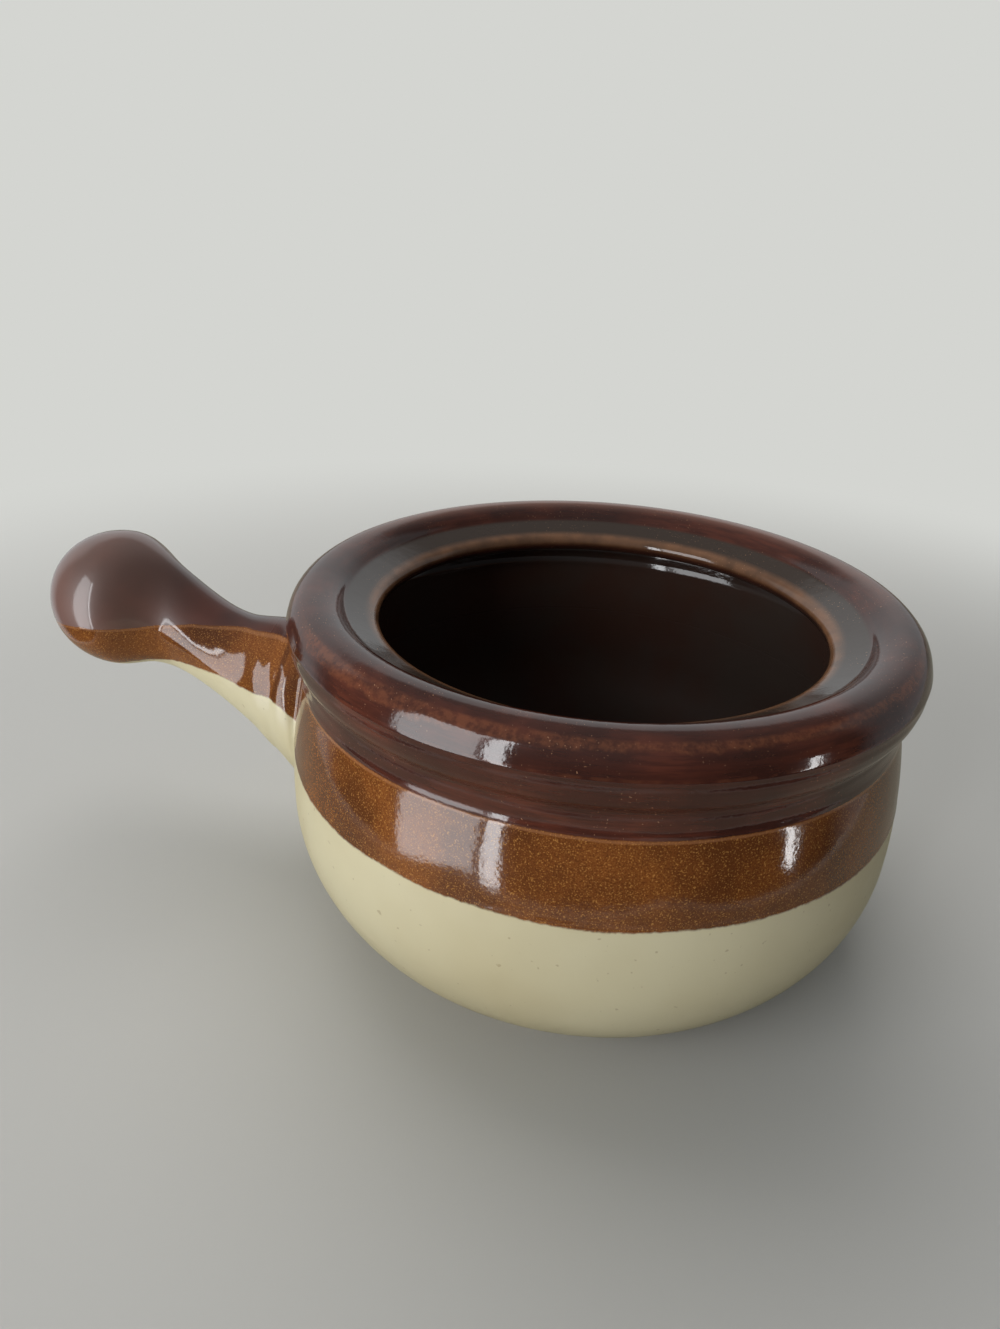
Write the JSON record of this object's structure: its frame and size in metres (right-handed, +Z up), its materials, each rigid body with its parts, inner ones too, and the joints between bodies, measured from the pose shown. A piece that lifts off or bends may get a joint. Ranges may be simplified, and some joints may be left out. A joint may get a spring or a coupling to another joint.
{
  "type": "handled soup bowl",
  "caption": "Round glazed stoneware soup bowl with a thick rolled rim, a lid seat, a rounded belly and one stick handle with a knob end.",
  "frame": {"origin": "on the bowl's axis, in the plane of the foot ring's bare face that stands on the table", "axes": "+Z up along the bowl's axis; the handle points along -X"},
  "size_m": [0.1899, 0.1284, 0.076],
  "materials": {
    "clay": "bare fired stoneware, matt and slightly gritty",
    "brown_glaze": "glossy dark red-brown glaze that breaks to amber on edges",
    "amber_glaze": "glossy amber-brown glaze with fine golden specks",
    "cream_glaze": "satin cream glaze with a few fine dark specks"
  },
  "bodies": {
    "root": {"bowl_body": "clay", "handle": "clay", "joining_slip": "clay", "brown_glaze_rim": "brown_glaze", "brown_glaze_lining": "brown_glaze", "amber_glaze_band": "amber_glaze", "cream_glaze_belly": "cream_glaze", "cream_glaze_base": "cream_glaze", "brown_glaze_handle": "brown_glaze", "amber_glaze_handle": "amber_glaze", "cream_glaze_handle": "cream_glaze"}
  },
  "joints": []
}
